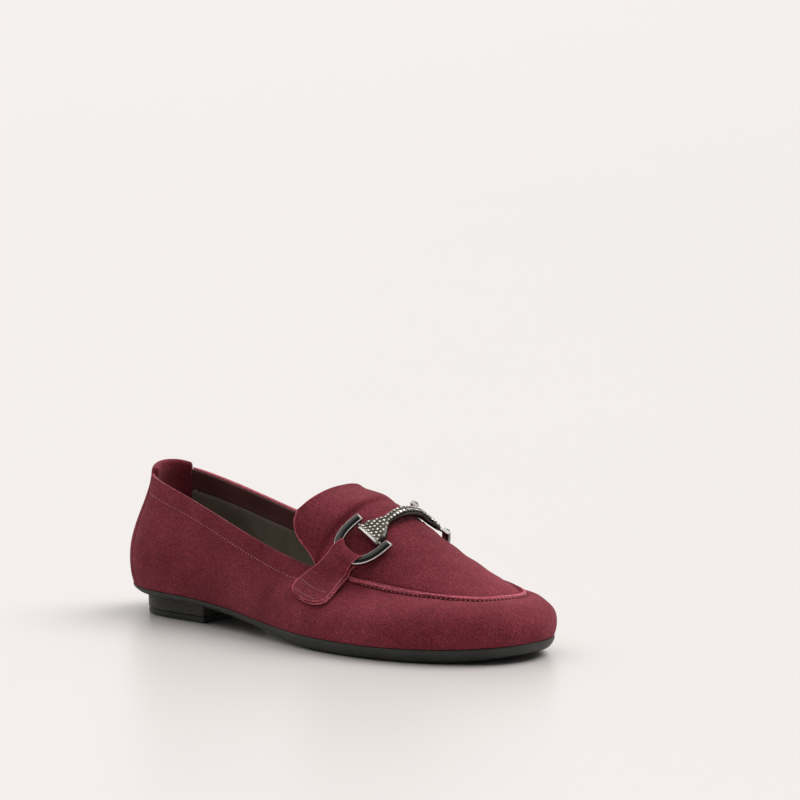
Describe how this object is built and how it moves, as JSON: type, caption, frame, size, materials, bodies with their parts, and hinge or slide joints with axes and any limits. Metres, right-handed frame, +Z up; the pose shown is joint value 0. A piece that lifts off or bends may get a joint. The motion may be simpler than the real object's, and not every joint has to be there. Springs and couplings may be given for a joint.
{
  "type": "snaffle-trimmed loafer",
  "caption": "Right slip-on suede loafer with a raised apron seam, open tongue, low rubber heel, and a snaffle bit of jointed rings and bar held over the vamp by two suede straps.",
  "frame": {"origin": "under the middle of the shoe's box, on the ground it stands on", "axes": "+X towards the toe, +Y towards the inner (medial) side of this right shoe, +Z up"},
  "size_m": [0.2518, 0.0903, 0.0763],
  "materials": {
    "outer_suede": "burgundy suede, napped",
    "lining_leather": "smooth taupe lining leather",
    "facing_leather": "dark burgundy-brown leather",
    "stiffener": "pressed fibre, matt",
    "board": "shoe board, matt",
    "cork": "cork, granular",
    "sock": "smooth taupe leather over thin foam",
    "sole_rubber": "black rubber, satin",
    "steel": "plain steel",
    "bit_metal": "dark polished nickel plate",
    "enamel": "black enamel, glossy"
  },
  "bodies": {
    "shoe": {"outsole": "sole_rubber", "heel_block": "sole_rubber", "heel_top_piece": "sole_rubber", "insole_board": "board", "sock_lining": "sock", "forefoot_filler": "cork", "shank": "steel", "heel_nail_1": "steel", "heel_nail_2": "steel", "heel_nail_3": "steel", "heel_nail_4": "steel", "heel_nail_5": "steel", "skirt": "outer_suede", "back_strip": "outer_suede", "heel_counter": "stiffener", "toe_puff": "stiffener", "quarter_lining_lateral": "lining_leather", "quarter_lining_medial": "lining_leather", "vamp_lining": "lining_leather", "topline_facing": "facing_leather", "apron": "outer_suede", "apron_lining": "lining_leather", "strap_lateral": "outer_suede", "strap_medial": "outer_suede"},
    "bit": {"ring_lateral": "bit_metal", "ring_medial": "bit_metal", "ring_enamel_lateral": "enamel", "ring_enamel_medial": "enamel", "ring_pin_lateral": "bit_metal", "ring_pin_medial": "bit_metal", "bit_bar": "bit_metal", "strap_loop_lateral": "outer_suede", "strap_loop_medial": "outer_suede"}
  },
  "joints": [
    {"name": "bit_rock", "type": "hinge", "parent": "shoe", "child": "bit", "pos_m": [0.03522, 0.00416, 0.04619], "axis": [-0.0035, -1, -0.0048], "range_deg": [0, 12]}
  ]
}
